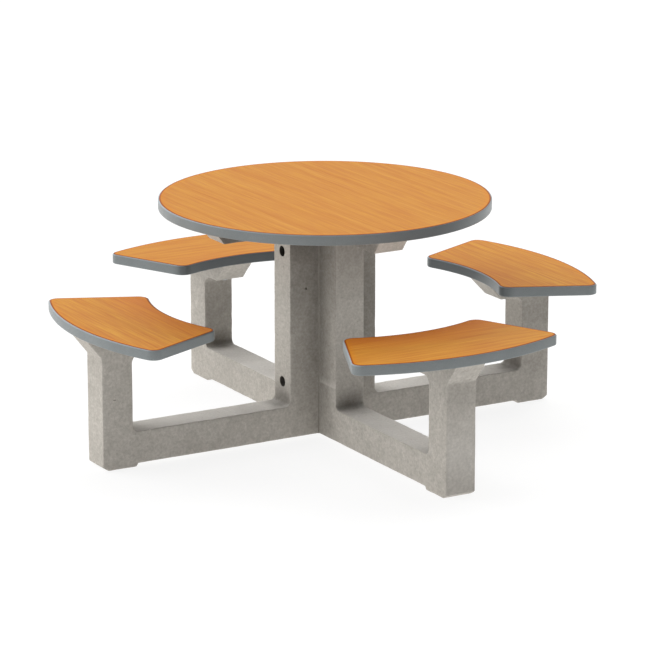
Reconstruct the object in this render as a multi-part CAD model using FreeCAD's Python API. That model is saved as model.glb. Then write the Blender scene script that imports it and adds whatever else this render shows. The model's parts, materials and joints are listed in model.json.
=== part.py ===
import FreeCAD
import Part
import math
import os

# Round four-place table with four fixed seats on a bolted precast concrete base.
# Origin: centre of the base on the ground. +Z is up. The main frame lies along X,
# and the two half frames stand against its faces, along -Y (front) and +Y (back).
# A frame is a flat casting: a pillar leg, a ground arm and a seat post in one plane.
# All sizes are in millimetres.

# Panels: the round top and the four seats share one build-up.
TABLE_HEIGHT = 750.0
TABLE_RADIUS = 513.5
SEAT_HEIGHT = 447.0
SEAT_TO_TABLE_GAP = 34.0
SEAT_DEPTH = 308.0
SEAT_HALF_ANGLE = 24.8
SEAT_INNER_CORNER = 36.0
SEAT_OUTER_CORNER = 31.0
CORE_THICKNESS = 29.5
LAMINATE_THICKNESS = 1.0
BACKER_THICKNESS = 1.0
BAND_WIDTH = 4.0
BAND_ROUND = 3.5

# Concrete frames, measured in the frame's own plane: r outwards from the centre, z up.
FRAME_THICKNESS = 101.6
ARM_DEPTH = 101.6
PILLAR_LEG_WIDTH = 99.7
SEAT_OVERHANG = 57.0
POST_WIDTH = 102.0
FOOT_HEIGHT = 10.2
FOOT_LENGTH = 112.5
FOOT_RAMP = 6.0
TOE_CHAMFER_RUN = 18.0
TOE_CHAMFER_RISE = 11.5
HEAD_DEPTH = 64.0
SEAT_HEAD_SHELF = 78.0
SEAT_HEAD_INNER_RUN = 62.0
SEAT_HEAD_OUTER_RUN = 51.5
TABLE_OVERHANG = 83.0
TABLE_HEAD_RUN = 50.5
ARM_FILLET = 18.0
HEAD_FILLET = 26.0
ARRIS_CHAMFER = 3.0

# Joint between the half frames and the main frame.
JOINT_GAP = 2.0
PAD_INSET = 1.5
UPPER_ROD_BELOW_HEAD = 59.0
LOWER_ROD_ABOVE_ARM = 68.5
TIE_ROD_DIAMETER = 16.0
TIE_ROD_CLEARANCE = 2.0
TIE_ROD_PROUD = 5.0
TIE_NUT_ACROSS_FLATS = 24.0
TIE_NUT_HEIGHT = 13.0
TIE_WASHER_DIAMETER = 30.0
TIE_WASHER_THICKNESS = 3.0
POCKET_CLEARANCE = 1.0
POCKET_DEPTH = 68.0

# Panel fixings: one bolt up through each head, and a locating dowel at each seat post.
BOLT_DIAMETER = 12.0
BOLT_CLEARANCE = 1.5
BOLT_ENGAGEMENT = 15.5
BOLT_HEAD_ACROSS_FLATS = 18.0
BOLT_HEAD_HEIGHT = 7.5
BOLT_WASHER_DIAMETER = 24.0
BOLT_WASHER_THICKNESS = 2.5
SEAT_BOLT_FROM_SHELF_END = 38.0
TABLE_BOLT_FROM_SHELF_END = 50.0
INSERT_WALL = 2.5
INSERT_LENGTH = 20.0
THREAD_CLEARANCE = 0.05
DOWEL_DIAMETER = 12.0
DOWEL_IN_CONCRETE = 40.0
DOWEL_IN_SEAT = 15.0
DOWEL_FROM_POST_FACE = 22.0
HEX_CORNER_CHAMFER = 0.12

# Reinforcing bars cast into each frame, in two mats beside its middle plane.
BAR_DIAMETER = 10.0
BAR_SIDE_COVER = 18.0
BAR_BEND = 40.0
BAR_COVER = 30.0
BAR_END_COVER = 45.0

# Values worked out from the driving sizes.
PANEL_THICKNESS = CORE_THICKNESS + LAMINATE_THICKNESS + BACKER_THICKNESS
TABLE_UNDERSIDE = TABLE_HEIGHT - PANEL_THICKNESS
SEAT_UNDERSIDE = SEAT_HEIGHT - PANEL_THICKNESS
HALF_THICKNESS = FRAME_THICKNESS / 2
BUTT_RADIUS = HALF_THICKNESS + JOINT_GAP
PILLAR_RADIUS = BUTT_RADIUS + PILLAR_LEG_WIDTH
SEAT_INNER_RADIUS = TABLE_RADIUS + SEAT_TO_TABLE_GAP
SEAT_OUTER_RADIUS = SEAT_INNER_RADIUS + SEAT_DEPTH
POST_OUTER_RADIUS = SEAT_OUTER_RADIUS - SEAT_OVERHANG
POST_INNER_RADIUS = POST_OUTER_RADIUS - POST_WIDTH
ARM_TOP = FOOT_HEIGHT + ARM_DEPTH
SEAT_HEAD_BASE = SEAT_UNDERSIDE - HEAD_DEPTH
TABLE_HEAD_BASE = TABLE_UNDERSIDE - HEAD_DEPTH
SEAT_SHELF_RADIUS = POST_INNER_RADIUS - SEAT_HEAD_SHELF
TABLE_SHELF_RADIUS = TABLE_RADIUS - TABLE_OVERHANG - TABLE_HEAD_RUN
SEAT_BOLT_RADIUS = SEAT_SHELF_RADIUS + SEAT_BOLT_FROM_SHELF_END
TABLE_BOLT_RADIUS = TABLE_SHELF_RADIUS - TABLE_BOLT_FROM_SHELF_END
DOWEL_RADIUS = POST_OUTER_RADIUS - DOWEL_FROM_POST_FACE
TIE_ROD_HOLE = TIE_ROD_DIAMETER + TIE_ROD_CLEARANCE
POCKET_DIAMETER = TIE_WASHER_DIAMETER + POCKET_CLEARANCE
BOLT_HOLE = BOLT_DIAMETER + BOLT_CLEARANCE
BOLT_LENGTH = BOLT_WASHER_THICKNESS + HEAD_DEPTH + BOLT_ENGAGEMENT
INSERT_DIAMETER = BOLT_DIAMETER + 2 * INSERT_WALL
BAR_MAT_OFFSET = HALF_THICKNESS - BAR_SIDE_COVER - BAR_DIAMETER / 2
TIE_ROD_HEIGHTS = {
    "upper": TABLE_HEAD_BASE - UPPER_ROD_BELOW_HEAD,
    "lower": ARM_TOP + LOWER_ROD_ABOVE_ARM,
}
SEAT_ANGLES = {"right": 0.0, "back": 90.0, "left": 180.0, "front": 270.0}
HALF_FRAME_ANGLES = {"front": 270.0, "back": 90.0}
HEX_SIDES = 6
Y_AXIS = FreeCAD.Vector(0, 1, 0)
Z_AXIS = FreeCAD.Vector(0, 0, 1)
ORIGIN = FreeCAD.Vector(0, 0, 0)
TOUCH = 1e-6


def turned(shape, degrees):
    """A copy of the shape, turned about the table's vertical axis."""
    copy = shape.copy()
    copy.rotate(ORIGIN, Z_AXIS, degrees)
    return copy


def rounded_path(corners, closed):
    """Lines through (r, z, radius) corners in the XZ plane, each corner rounded by its radius."""
    points = [FreeCAD.Vector(r, 0, z) for r, z, _ in corners]
    count = len(points)
    spans = []
    for i, (_, _, radius) in enumerate(corners):
        at_end = not closed and i in (0, count - 1)
        if at_end or radius <= 0:
            spans.append((points[i], None, points[i]))
            continue
        back = (points[i - 1] - points[i]).normalize()
        ahead = (points[(i + 1) % count] - points[i]).normalize()
        half_angle = back.getAngle(ahead) / 2
        reach = radius / math.tan(half_angle)
        bisector = (back + ahead).normalize()
        middle = points[i] + bisector * (radius / math.sin(half_angle) - radius)
        spans.append((points[i] + back * reach, middle, points[i] + ahead * reach))
    edges = []
    for i, (start, middle, end) in enumerate(spans):
        if middle is not None:
            edges.append(Part.Arc(start, middle, end).toShape())
        if closed or i < count - 1:
            edges.append(Part.makeLine(end, spans[(i + 1) % count][0]))
    return Part.Wire(edges)


def frame_side():
    """Corners of one arm's outline, from the foot round the post to the table head."""
    foot_radius = POST_OUTER_RADIUS - FOOT_LENGTH
    seat_top_outer = POST_OUTER_RADIUS + SEAT_HEAD_OUTER_RUN
    seat_top_inner = SEAT_SHELF_RADIUS - SEAT_HEAD_INNER_RUN
    return [
        (foot_radius - FOOT_RAMP, FOOT_HEIGHT, 0),
        (foot_radius, 0, 0),
        (POST_OUTER_RADIUS - TOE_CHAMFER_RUN, 0, 0),
        (POST_OUTER_RADIUS, TOE_CHAMFER_RISE, 0),
        (POST_OUTER_RADIUS, SEAT_HEAD_BASE, 0),
        (seat_top_outer, SEAT_UNDERSIDE, 0),
        (seat_top_inner, SEAT_UNDERSIDE, 0),
        (SEAT_SHELF_RADIUS, SEAT_HEAD_BASE, 0),
        (POST_INNER_RADIUS, SEAT_HEAD_BASE, HEAD_FILLET),
        (POST_INNER_RADIUS, ARM_TOP, ARM_FILLET),
        (PILLAR_RADIUS, ARM_TOP, ARM_FILLET),
        (PILLAR_RADIUS, TABLE_HEAD_BASE, HEAD_FILLET),
        (TABLE_SHELF_RADIUS, TABLE_HEAD_BASE, 0),
        (TABLE_SHELF_RADIUS + TABLE_HEAD_RUN, TABLE_UNDERSIDE, 0),
    ]


def flat_casting(corners):
    """The outline cast to the frame's thickness about its middle plane, with eased arrises."""
    face = Part.Face(rounded_path(corners, closed=True))
    face.translate(Y_AXIS * -HALF_THICKNESS)
    solid = face.extrude(Y_AXIS * FRAME_THICKNESS)

    def is_arris(edge):
        box = edge.BoundBox
        on_face = abs(abs(box.YMin) - HALF_THICKNESS) < TOUCH and box.YLength < TOUCH
        at_butt = box.XLength < TOUCH and abs(box.XMin - BUTT_RADIUS) < TOUCH
        return on_face and not at_butt

    return solid.makeChamfer(ARRIS_CHAMFER, [e for e in solid.Edges if is_arris(e)])


def cylinder(diameter, start, direction, length):
    """A round rod or drill of the given diameter from start along direction."""
    return Part.makeCylinder(diameter / 2, length, start, direction)


def panel_holes(bolt_radius, head_base, panel_underside):
    """The bolt's way up through a head, along +X before it is turned."""
    start = FreeCAD.Vector(bolt_radius, 0, head_base)
    return cylinder(BOLT_HOLE, start, Z_AXIS, panel_underside - head_base)


def arm_drillings():
    """What is left open in the concrete of one arm for the panel fixings."""
    seat_hole = panel_holes(SEAT_BOLT_RADIUS, SEAT_HEAD_BASE, SEAT_UNDERSIDE)
    table_hole = panel_holes(TABLE_BOLT_RADIUS, TABLE_HEAD_BASE, TABLE_UNDERSIDE)
    dowel_foot = FreeCAD.Vector(DOWEL_RADIUS, 0, SEAT_UNDERSIDE - DOWEL_IN_CONCRETE)
    dowel_hole = cylinder(DOWEL_DIAMETER, dowel_foot, Z_AXIS, DOWEL_IN_CONCRETE)
    return [seat_hole, table_hole, dowel_hole]


def bent_bar(points, offset):
    """A reinforcing bar through (r, z) points with bent corners, beside the middle plane."""
    path = rounded_path([(r, z, BAR_BEND) for r, z in points], closed=False)
    first, second = (FreeCAD.Vector(r, 0, z) for r, z in points[:2])
    ring = Part.Wire(Part.makeCircle(BAR_DIAMETER / 2, first, second - first))
    bar = path.makePipeShell([ring], True, False)
    bar.translate(Y_AXIS * offset)
    return bar


def bar_stations():
    """Where the bars run in one arm: post, ground arm, pillar leg and the two heads."""
    return {
        "post": POST_OUTER_RADIUS - POST_WIDTH / 2,
        "arm": FOOT_HEIGHT + BAR_COVER + BAR_DIAMETER / 2,
        "pillar": PILLAR_RADIUS - PILLAR_LEG_WIDTH / 2,
        "seat_head": SEAT_UNDERSIDE - BAR_COVER,
        "seat_end": SEAT_SHELF_RADIUS - SEAT_HEAD_INNER_RUN + BAR_END_COVER,
        "table_head": TABLE_UNDERSIDE - BAR_COVER,
        "table_end": TABLE_SHELF_RADIUS + TABLE_HEAD_RUN - BAR_END_COVER,
    }


def half_frame_bars():
    """One bar per mat, from the seat head down the post, along the arm and up the pillar."""
    at = bar_stations()
    route = [
        (at["seat_end"], at["seat_head"]),
        (at["post"], at["seat_head"]),
        (at["post"], at["arm"]),
        (at["pillar"], at["arm"]),
        (at["pillar"], at["table_head"]),
        (at["table_end"], at["table_head"]),
    ]
    return [bent_bar(route, side * BAR_MAT_OFFSET) for side in (-1, 1)]


def base_bars():
    """Main frame: one bar per mat from seat head to seat head through the ground arms."""
    at = bar_stations()
    one_side = [
        (at["seat_end"], at["seat_head"]),
        (at["post"], at["seat_head"]),
        (at["post"], at["arm"]),
    ]
    route = one_side + [(-r, z) for r, z in reversed(one_side)]
    return [bent_bar(route, side * BAR_MAT_OFFSET) for side in (-1, 1)]


def pillar_bars():
    """Main frame: a bar per mat and side, from above the base bars up into the table head."""
    at = bar_stations()
    foot = at["arm"] + 2 * BAR_DIAMETER
    bars = []
    for side in (-1, 1):
        for way in (-1, 1):
            route = [
                (way * at["pillar"], foot),
                (way * at["pillar"], at["table_head"]),
                (way * at["table_end"], at["table_head"]),
            ]
            bars.append(bent_bar(route, side * BAR_MAT_OFFSET))
    return bars


def tie_drillings():
    """Through holes and nut pockets for the tie rods, along Y through all three frames."""
    tools = []
    for height in TIE_ROD_HEIGHTS.values():
        middle = FreeCAD.Vector(0, 0, height)
        start = middle - Y_AXIS * PILLAR_RADIUS
        tools.append(cylinder(TIE_ROD_HOLE, start, Y_AXIS, 2 * PILLAR_RADIUS))
        for way in (-1, 1):
            mouth = middle + Y_AXIS * (way * PILLAR_RADIUS)
            tools.append(cylinder(POCKET_DIAMETER, mouth, Y_AXIS * -way, POCKET_DEPTH))
    return tools


def main_frame(bars):
    """The full casting that carries the right and left seats."""
    right = frame_side()
    left = [(-r, z, radius) for r, z, radius in reversed(right)]
    solid = flat_casting(right + left)
    drillings = arm_drillings()
    tools = drillings + [turned(tool, SEAT_ANGLES["left"]) for tool in drillings]
    return solid.cut(tools + tie_drillings() + bars)


def half_frame(angle, bars):
    """A casting with one pillar leg, arm and post, turned into its place."""
    outline = [(BUTT_RADIUS, FOOT_HEIGHT, 0)]
    outline += frame_side() + [(BUTT_RADIUS, TABLE_UNDERSIDE, 0)]
    solid = flat_casting(outline).cut(arm_drillings() + bars)
    return turned(solid, angle).cut(tie_drillings())


def joint_pad(angle):
    """Thin rubber pad between a half frame's butt and the main frame's face."""
    width = FRAME_THICKNESS - 2 * PAD_INSET
    height = TABLE_UNDERSIDE - FOOT_HEIGHT - 2 * PAD_INSET
    corner = FreeCAD.Vector(HALF_THICKNESS, -width / 2, FOOT_HEIGHT + PAD_INSET)
    pad = Part.makeBox(JOINT_GAP, width, height, corner)
    return turned(pad, angle).cut(tie_drillings())


def hexagon(across_flats, height, start, direction):
    """A hexagonal prism with its corners turned down at both ends."""
    across_corners = across_flats / math.cos(math.pi / HEX_SIDES)
    ring = [
        FreeCAD.Vector(
            across_corners / 2 * math.cos(2 * math.pi * i / HEX_SIDES),
            across_corners / 2 * math.sin(2 * math.pi * i / HEX_SIDES),
            0,
        )
        for i in range(HEX_SIDES + 1)
    ]
    prism = Part.Face(Part.makePolygon(ring)).extrude(Z_AXIS * height)
    drop = height * HEX_CORNER_CHAMFER
    turning = Part.makeCylinder(across_corners / 2, height)
    turning = turning.makeChamfer(drop, [e for e in turning.Edges if not e.isSeam(turning.Faces[0])])
    prism = prism.common(turning)
    prism.Placement = FreeCAD.Placement(start, FreeCAD.Rotation(Z_AXIS, direction))
    return prism


def washer(outer, thickness, hole, start, direction):
    """A flat ring on the axis from start along direction."""
    return cylinder(outer, start, direction, thickness).cut(
        cylinder(hole, start, direction, thickness)
    )


def tie_rod(height):
    """A threaded rod that reaches past the nut at both ends."""
    seat = PILLAR_RADIUS - POCKET_DEPTH
    half = seat + TIE_WASHER_THICKNESS + TIE_NUT_HEIGHT + TIE_ROD_PROUD
    start = FreeCAD.Vector(0, -half, height)
    return cylinder(TIE_ROD_DIAMETER, start, Y_AXIS, 2 * half)


def tie_rod_ends():
    """The washer and the nut at every rod end, as two lists of solids."""
    washers, nuts = [], []
    thread = TIE_ROD_DIAMETER + 2 * THREAD_CLEARANCE
    for height in TIE_ROD_HEIGHTS.values():
        for way in (-1, 1):
            out = Y_AXIS * way
            floor = FreeCAD.Vector(0, 0, height) + out * (PILLAR_RADIUS - POCKET_DEPTH)
            washers.append(
                washer(TIE_WASHER_DIAMETER, TIE_WASHER_THICKNESS, thread, floor, out)
            )
            seat = floor + out * TIE_WASHER_THICKNESS
            nut = hexagon(TIE_NUT_ACROSS_FLATS, TIE_NUT_HEIGHT, seat, out)
            nuts.append(nut.cut(cylinder(thread, seat, out, TIE_NUT_HEIGHT)))
    return washers, nuts


def panel_bolt(radius, head_base):
    """A hexagon-head bolt from under its washer, along +X before it is turned."""
    seat = FreeCAD.Vector(radius, 0, head_base - BOLT_WASHER_THICKNESS)
    head = hexagon(BOLT_HEAD_ACROSS_FLATS, BOLT_HEAD_HEIGHT, seat, -Z_AXIS)
    return head.fuse(cylinder(BOLT_DIAMETER, seat, Z_AXIS, BOLT_LENGTH)).removeSplitter()


def bolt_washer(radius, head_base):
    """The washer under a panel bolt's head."""
    seat = FreeCAD.Vector(radius, 0, head_base)
    hole = BOLT_DIAMETER + 2 * THREAD_CLEARANCE
    return washer(BOLT_WASHER_DIAMETER, BOLT_WASHER_THICKNESS, hole, seat, -Z_AXIS)


def threaded_insert(radius, underside):
    """The threaded bush that is driven into a panel's underside for its bolt."""
    mouth = FreeCAD.Vector(radius, 0, underside)
    hole = BOLT_DIAMETER + 2 * THREAD_CLEARANCE
    return washer(INSERT_DIAMETER, INSERT_LENGTH, hole, mouth, Z_AXIS)


def dowel():
    """The pin that locates a seat on its post."""
    foot = FreeCAD.Vector(DOWEL_RADIUS, 0, SEAT_UNDERSIDE - DOWEL_IN_CONCRETE)
    return cylinder(DOWEL_DIAMETER, foot, Z_AXIS, DOWEL_IN_CONCRETE + DOWEL_IN_SEAT)


def seat_outline(inset):
    """The seat's plan at +X: a ring sector with radial sides and round corners, drawn in by inset."""
    half = math.radians(SEAT_HALF_ANGLE)
    side_out = FreeCAD.Vector(-math.sin(half), math.cos(half), 0)

    def corner(distance, radius, arc_side):
        """Points of one rounded corner, from the arc's end round to the straight side."""
        angle = half - math.asin(radius / distance)
        to_centre = FreeCAD.Vector(math.cos(angle), math.sin(angle), 0)
        centre = to_centre * distance
        on_arc = to_centre * arc_side
        middle = (on_arc + side_out).normalize()
        reach = radius - inset
        return [centre + way * reach for way in (on_arc, middle, side_out)]

    outer = corner(SEAT_OUTER_RADIUS - SEAT_OUTER_CORNER, SEAT_OUTER_CORNER, 1)
    inner = corner(SEAT_INNER_RADIUS + SEAT_INNER_CORNER, SEAT_INNER_CORNER, -1)

    def mirrored(points):
        return [FreeCAD.Vector(p.x, -p.y, 0) for p in points]

    outer_top = FreeCAD.Vector(SEAT_OUTER_RADIUS - inset, 0, 0)
    inner_top = FreeCAD.Vector(SEAT_INNER_RADIUS + inset, 0, 0)
    outer_low, inner_low = mirrored(outer), mirrored(inner)
    return Part.Wire(
        [
            Part.Arc(outer_low[0], outer_top, outer[0]).toShape(),
            Part.Arc(*outer).toShape(),
            Part.makeLine(outer[2], inner[2]),
            Part.Arc(inner[2], inner[1], inner[0]).toShape(),
            Part.Arc(inner[0], inner_top, inner_low[0]).toShape(),
            Part.Arc(*inner_low).toShape(),
            Part.makeLine(inner_low[2], outer_low[2]),
            Part.Arc(outer_low[2], outer_low[1], outer_low[0]).toShape(),
        ]
    )


def table_outline(inset):
    """The round top's plan, drawn in by inset."""
    return Part.Wire(Part.makeCircle(TABLE_RADIUS - inset))


def slab(outline, inset, bottom, thickness):
    """A plan outline made into a flat slab."""
    face = Part.Face(outline(inset))
    face.translate(Z_AXIS * bottom)
    return face.extrude(Z_AXIS * thickness)


def edge_band(outline, underside):
    """The band round a panel, as deep as the panel, with its outer edges rounded."""
    whole = slab(outline, 0, underside, PANEL_THICKNESS)
    flats = [e for e in whole.Edges if e.BoundBox.ZLength < TOUCH]
    rounded = whole.makeFillet(BAND_ROUND, flats)
    return rounded.cut(slab(outline, BAND_WIDTH, underside, PANEL_THICKNESS))


def panel(outline, underside, sockets):
    """The backer, core, laminate and edge band of one panel, with its underside's sockets."""
    core_base = underside + BACKER_THICKNESS
    laminate_base = core_base + CORE_THICKNESS
    return {
        "backer": slab(outline, BAND_WIDTH, underside, BACKER_THICKNESS).cut(sockets),
        "core": slab(outline, BAND_WIDTH, core_base, CORE_THICKNESS).cut(sockets),
        "laminate": slab(outline, BAND_WIDTH, laminate_base, LAMINATE_THICKNESS),
        "edge_band": edge_band(outline, underside),
    }


def socket(radius, underside, diameter, depth):
    """A blind socket in a panel's underside."""
    return cylinder(diameter, FreeCAD.Vector(radius, 0, underside), Z_AXIS, depth)


def table_panel():
    """The round top, with a socket for the insert above each arm."""
    hole = socket(TABLE_BOLT_RADIUS, TABLE_UNDERSIDE, INSERT_DIAMETER, INSERT_LENGTH)
    sockets = [turned(hole, angle) for angle in SEAT_ANGLES.values()]
    return panel(table_outline, TABLE_UNDERSIDE, sockets)


def seat_panel():
    """One seat at +X, with sockets for its insert and its dowel."""
    sockets = [
        socket(SEAT_BOLT_RADIUS, SEAT_UNDERSIDE, INSERT_DIAMETER, INSERT_LENGTH),
        socket(DOWEL_RADIUS, SEAT_UNDERSIDE, DOWEL_DIAMETER, DOWEL_IN_SEAT),
    ]
    return panel(seat_outline, SEAT_UNDERSIDE, sockets)


def around(shape):
    """The same solid at all four seats."""
    return [turned(shape, angle) for angle in SEAT_ANGLES.values()]


def build():
    """Every sub-part by its node name."""
    nodes = {}
    base, pillar, half = base_bars(), pillar_bars(), half_frame_bars()
    nodes["main_frame"] = main_frame(base + pillar)
    nodes["main_frame_base_bars"] = Part.makeCompound(base)
    nodes["main_frame_pillar_bars"] = Part.makeCompound(pillar)
    for name, angle in HALF_FRAME_ANGLES.items():
        nodes[f"{name}_frame"] = half_frame(angle, half)
        nodes[f"{name}_frame_bars"] = turned(Part.makeCompound(half), angle)
        nodes[f"{name}_joint_pad"] = joint_pad(angle)
    for name, height in TIE_ROD_HEIGHTS.items():
        nodes[f"{name}_tie_rod"] = tie_rod(height)
    washers, nuts = tie_rod_ends()
    nodes["tie_rod_washers"] = Part.makeCompound(washers)
    nodes["tie_rod_nuts"] = Part.makeCompound(nuts)
    for piece, shape in table_panel().items():
        nodes[f"table_{piece}"] = shape
    seat = seat_panel()
    for name, angle in SEAT_ANGLES.items():
        for piece, shape in seat.items():
            nodes[f"{name}_seat_{piece}"] = turned(shape, angle)
    fixings = {
        "table": (TABLE_BOLT_RADIUS, TABLE_HEAD_BASE, TABLE_UNDERSIDE),
        "seat": (SEAT_BOLT_RADIUS, SEAT_HEAD_BASE, SEAT_UNDERSIDE),
    }
    for name, (radius, head_base, underside) in fixings.items():
        bolt = panel_bolt(radius, head_base)
        insert = threaded_insert(radius, underside)
        nodes[f"{name}_bolts"] = Part.makeCompound(around(bolt))
        nodes[f"{name}_bolt_washers"] = Part.makeCompound(around(bolt_washer(radius, head_base)))
        nodes[f"{name}_threaded_inserts"] = Part.makeCompound(around(insert))
    nodes["seat_dowels"] = Part.makeCompound(around(dowel()))
    return nodes


def main():
    os.makedirs("parts", exist_ok=True)
    for name, shape in build().items():
        shape.exportStep(f"parts/{name}.step")


main()
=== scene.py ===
import json

import bmesh
import bpy
import numpy as np
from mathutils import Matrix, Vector


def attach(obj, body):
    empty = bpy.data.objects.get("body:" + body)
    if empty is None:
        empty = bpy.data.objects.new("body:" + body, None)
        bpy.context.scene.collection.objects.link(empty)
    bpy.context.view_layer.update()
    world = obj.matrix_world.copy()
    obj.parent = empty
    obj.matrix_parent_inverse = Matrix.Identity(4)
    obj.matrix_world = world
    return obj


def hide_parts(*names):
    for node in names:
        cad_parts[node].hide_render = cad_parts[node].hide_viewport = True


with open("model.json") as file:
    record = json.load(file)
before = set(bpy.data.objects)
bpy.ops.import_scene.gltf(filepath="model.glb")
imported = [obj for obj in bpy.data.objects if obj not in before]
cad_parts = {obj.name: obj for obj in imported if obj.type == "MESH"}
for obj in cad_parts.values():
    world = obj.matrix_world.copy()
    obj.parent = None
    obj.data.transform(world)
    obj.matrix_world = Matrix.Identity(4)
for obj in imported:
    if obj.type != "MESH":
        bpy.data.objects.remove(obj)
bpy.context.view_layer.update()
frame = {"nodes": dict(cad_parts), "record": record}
nodes = frame["nodes"]

# Sizes in metres, in the table's own frame: origin on the ground under the middle, +Z up.
# r runs outwards along an arm of the base, w across the casting's thickness, z up.
TABLE_RADIUS = 0.5135
TABLE_TOP = 0.750
SEAT_TOP = 0.447
PANEL = 0.0315
LAMINATE = 0.001
BAND_WIDTH = 0.004
BAND_ROUND = 0.0035
BAND_DROP = 0.0008
SEAT_INNER, SEAT_OUTER = 0.5475, 0.8555
SEAT_HALF_ANGLE = np.radians(24.8)
SEAT_INNER_CORNER, SEAT_OUTER_CORNER = 0.036, 0.031
SEAT_MIDDLE = 0.716
SIDE_STEPS = 18
BUTT, PILLAR_FACE = 0.0528, 0.1525
ARM_FOOT, ARM_TOP = 0.0102, 0.1118
FOOT_RAMP, FOOT_INNER, FOOT_OUTER, TOE_RISE = 0.680, 0.686, 0.7805, 0.0115
POST_INNER, POST_OUTER = 0.6965, 0.7985
SEAT_SHELF, SEAT_HEAD = 0.3515, 0.4155
SEAT_SHELF_END, SEAT_HEAD_INNER, SEAT_HEAD_OUTER = 0.6185, 0.5565, 0.850
TABLE_SHELF, TABLE_HEAD = 0.6545, 0.7185
TABLE_SHELF_END, TABLE_HEAD_END = 0.380, 0.4305
ARM_FILLET, HEAD_FILLET = 0.018, 0.026
HALF_THICKNESS = 0.0508
ARRIS = 0.003
CAST_STEP = 0.006
ACROSS = 16
ROD_HEIGHTS = (0.5955, 0.1803)
ROD_RADIUS, ROD_HALF_LENGTH, ROD_PITCH = 0.008, 0.1055, 0.002
ROD_SIDES, ROD_STEPS_PER_PITCH, BEAD_STEPS = 24, 8, 60
THREAD_DEPTH, ROD_END_TAPER = 0.0011, 0.0015
ROD_HOLE, POCKET_RADIUS, POCKET_FLOOR = 0.009, 0.0155, 0.0845
BOLT_HOLE, DOWEL_HOLE = 0.00675, 0.0061
TABLE_BOLT, SEAT_BOLT, DOWEL = 0.330, 0.6565, 0.7765

# The laminate's rings: shares of the way out to the rim, then distances in from the panel's edge.
RIM_WIDTH = 0.024
INNER_RINGS = (0.08, 0.22, 0.38, 0.54, 0.70, 0.86, 1.0)
RIM_RINGS = (0.017, 0.012, 0.009, 0.0075, 0.0062, 0.0052, 0.0046, 0.0042, BAND_WIDTH)
UNDER_RING = 0.3
FAR_FROM_EDGE = 0.05
# How far out from a seat's inner edge its painted shade, a redder tint, reaches.
SHADE_RED_REACH = 0.70

# Quarter turns from +X, then a seat's painted shade as a redder tint, or the seed of a casting's
# wear.
SEATS = {"right": (0, 1.4), "back": (1, 0.35), "left": (2, 0.2), "front": (3, 1.0)}
CASTINGS = {"front": (3, 11), "back": (1, 23), "main": (0, 37)}
AIR_HOLES = [(0.096, 0.0498, 0.480, 0.0042, 0.014), (0.758, 0.0503, 0.221, 0.0046, 0.0030)]
CREASE, CASTING_CREASE, ROD_CREASE = 35, 40, 60
# Opposite of the front-left light, for the painted highlight on the bands' upper round.
AWAY_FROM_KEY_LIGHT = (0.64, 0.77)
# The side of the table's band that is painted in shade.
PAINTED_SHADE_SIDE = (0.985, 0.174)

# Dirt, painted shade and painted light on the castings.
# A spot is (distance along the casting, height, reach, strength).
SKIN = 0.0488
PILLAR_CORNER, POST_CORNER = 0.160, 0.692
# Height of a painted shadow edge across the main pillar's sides, with painted light just above it.
SHADOW_EDGE_HEIGHT = 0.1785
DIRT_PAINTED_SHADE_AND_LIGHT = {
    "main": {
        "soil_and_shade": [(PILLAR_CORNER, 0.124, 0.047, 0.57), (0.19, 0.112, 0.05, 0.3),
                 (PILLAR_CORNER, 0.66, 0.13, 0.5), (PILLAR_CORNER, 0.24, 0.10, 0.13),
                 (POST_CORNER, 0.112, 0.05, 0.35), (POST_OUTER, 0.36, 0.11, 0.2),
                 (-PILLAR_CORNER, 0.118, 0.05, 0.4), (-PILLAR_CORNER, 0.66, 0.13, 0.45),
                 (-POST_CORNER, 0.122, 0.055, 0.6), (-POST_CORNER, 0.26, 0.14, 0.38),
                 (-0.33, ARM_TOP, 0.1, 0.26)],
        "painted_shade": [(-0.45, 0.08, 0.30, 0.07), (0.13, 0.58, 0.25, 0.36)],
        "painted_light_patches": [(POST_OUTER, 0.13, 0.12, 0.2)]},
    "front": {
        "soil_and_shade": [(-PILLAR_CORNER, 0.126, 0.045, 0.7), (-POST_CORNER, 0.112, 0.045, 0.12),
                 (-0.26, ARM_TOP, 0.07, 0.17), (-POST_OUTER, 0.36, 0.08, 0.12)],
        "painted_shade": [(-0.09, 0.54, 0.22, 0.42), (-0.11, 0.65, 0.15, 0.66), (-0.37, 0.68, 0.12, 0.72)],
        "painted_light_patches": [(-0.57, ARM_TOP, 0.12, 0.55)]},
    "back": {
        "soil_and_shade": [(POST_CORNER, 0.125, 0.055, 0.8), (PILLAR_CORNER, 0.118, 0.05, 0.4),
                 (POST_CORNER, 0.28, 0.12, 0.18)],
        "painted_shade": [(0.75, 0.31, 0.13, 0.3), (0.09, 0.40, 0.30, 0.40), (0.75, 0.13, 0.06, 0.24),
                  (0.46, 0.06, 0.06, 0.18), (0.12, 0.66, 0.12, 0.6)],
        "painted_light_patches": [(0.54, ARM_TOP, 0.06, 0.35)]},
}

# Colours as they show on a screen, 0 to 255.
# Colours for the concrete. The third, a near-white, is partly dust and partly painted light on
# upward faces. After the worn colour come painted shade for the sides, a near-white painted light,
# dirt that also paints shade in the inner corners, and painted shade for the inside of the nut
# pockets.
CONCRETE = {"dark": (181, 176, 168), "pale": (209, 204, 196), "dust_and_top_light": (246, 243, 238),
            "speckle": (122, 117, 109), "fine speckle": (112, 107, 100), "specks": (96, 91, 84),
            "worn": (192, 187, 180), "painted_shade": (62, 55, 46), "painted_light": (248, 245, 240),
            "soil_and_shade": (96, 92, 87), "painted_pocket_shade": (50, 47, 42)}
# Colours for the laminate; the fourth, a redder orange, is painted shade towards the seats' inner
# edges.
WOOD = {"dark": (187, 107, 16), "pale": (210, 151, 57), "pores": (150, 80, 30),
        "shade_red": (226, 118, 36), "margin": (214, 129, 0), "rim": (150, 67, 0)}
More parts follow.
